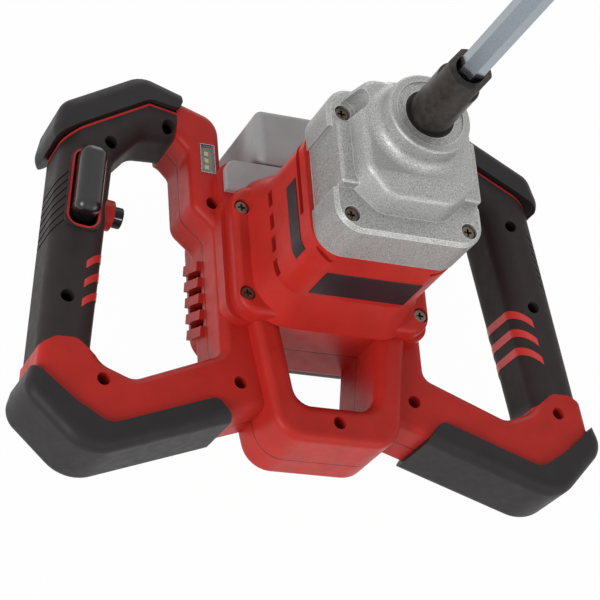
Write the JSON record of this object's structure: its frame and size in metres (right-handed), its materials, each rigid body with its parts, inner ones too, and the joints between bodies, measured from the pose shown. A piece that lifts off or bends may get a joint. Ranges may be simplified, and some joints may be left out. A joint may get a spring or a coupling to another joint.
{
  "type": "mixing drill",
  "caption": "Cordless mixing drill with closed side handles, a cast gear case, a driven stirrer rod, a trigger, a speed dial and a slide-on battery.",
  "frame": {"origin": "where the spindle axis meets the surface that the tool stands on", "axes": "+Z along the spindle out of its nose, +X to the plain handle, +Y to the battery"},
  "size_m": [0.357, 0.2412, 0.422],
  "materials": {
    "red_plastic": "fine matte grain",
    "dark_plastic": "matte",
    "grip_rubber": "soft matte",
    "bumper_rubber": "soft matte",
    "trigger_black": "gloss",
    "cast_aluminium": "as cast",
    "steel": "satin",
    "dark_steel": "dark plated",
    "bronze": "plain",
    "copper": "plain",
    "board": "satin",
    "lamp_clear": "clear",
    "battery_grey": "matte",
    "cell_wrap": "gloss"
  },
  "bodies": {
    "frame": {"front_shell": "red_plastic", "rear_shell": "red_plastic", "handle_screws": "dark_steel", "left_grip": "grip_rubber", "right_grip": "grip_rubber", "upper_left_bumper": "bumper_rubber", "upper_right_bumper": "bumper_rubber", "lower_left_bumper": "bumper_rubber", "lower_right_bumper": "bumper_rubber", "rear_cover": "dark_plastic", "cover_screws": "dark_steel", "neck_housing": "red_plastic", "flange_screws": "dark_steel", "gear_case": "cast_aluminium", "gear_case_screws": "dark_steel", "gear_plate": "cast_aluminium", "hub_ring": "cast_aluminium", "spindle_seal": "bumper_rubber", "spindle_front_bearing": "steel", "spindle_rear_bush": "bronze", "layshaft_front_bush": "bronze", "layshaft_rear_bush": "bronze", "motor_front_bearing": "steel", "motor_rear_bearing": "steel", "stator": "steel", "brushes": "copper", "brush_holder": "dark_plastic", "control_board": "board", "lamp_window": "lamp_clear", "lamp_board": "board", "trigger_pin": "steel", "trigger_spring": "steel", "trigger_switch": "dark_plastic", "trigger_rim": "red_plastic", "dial_bezel": "red_plastic", "battery_rail": "dark_plastic", "battery_dock": "battery_grey", "terminal_block": "dark_plastic"},
    "spindle_set": {"spindle": "dark_steel", "output_gear": "steel", "stirrer_rod": "steel"},
    "layshaft_set": {"layshaft": "steel", "layshaft_gear": "steel"},
    "rotor": {"motor_shaft": "steel", "rotor_core": "steel", "rotor_windings": "copper", "commutator": "copper", "cooling_fan": "dark_plastic"},
    "trigger_lever": {"trigger": "trigger_black"},
    "dial": {"speed_dial": "dark_plastic"},
    "battery": {"battery_case": "battery_grey", "battery_lid": "battery_grey", "battery_cells": "cell_wrap"},
    "latch": {"battery_latch": "dark_plastic"}
  },
  "joints": [
    {"name": "spindle_turn", "type": "hinge", "parent": "frame", "child": "spindle_set", "pos_m": [0, 0, 0.2], "axis": [0, 0, 1], "continuous": true},
    {"name": "layshaft_turn", "type": "hinge", "parent": "frame", "child": "layshaft_set", "pos_m": [0, -0.033, 0.17], "axis": [0, 0, 1], "continuous": true},
    {"name": "motor_turn", "type": "hinge", "parent": "frame", "child": "rotor", "pos_m": [0, -0.0165, 0.1], "axis": [0, 0, 1], "continuous": true},
    {"name": "trigger_press", "type": "hinge", "parent": "frame", "child": "trigger_lever", "pos_m": [-0.13927, 0.03104, 0.0575], "axis": [0.9914, -0.1306, 0], "range_deg": [0, 8], "stiffness_Nm_per_rad": 0.6},
    {"name": "dial_turn", "type": "hinge", "parent": "frame", "child": "dial", "pos_m": [-0.1227, 0.00364, 0.06], "axis": [0.9914, -0.1306, 0], "range_deg": [-135, 135]},
    {"name": "battery_slide", "type": "slide", "parent": "frame", "child": "battery", "axis": [0, 0, 1], "range_m": [0, 0.085]},
    {"name": "latch_press", "type": "slide", "parent": "battery", "child": "latch", "axis": [0, 0, -1], "range_m": [0, 0.0025], "stiffness_N_per_m": 1200}
  ],
  "couplings": [
    {"joint": "layshaft_turn", "follows": "spindle_turn", "ratio": -3},
    {"joint": "motor_turn", "follows": "spindle_turn", "ratio": 6.9}
  ]
}
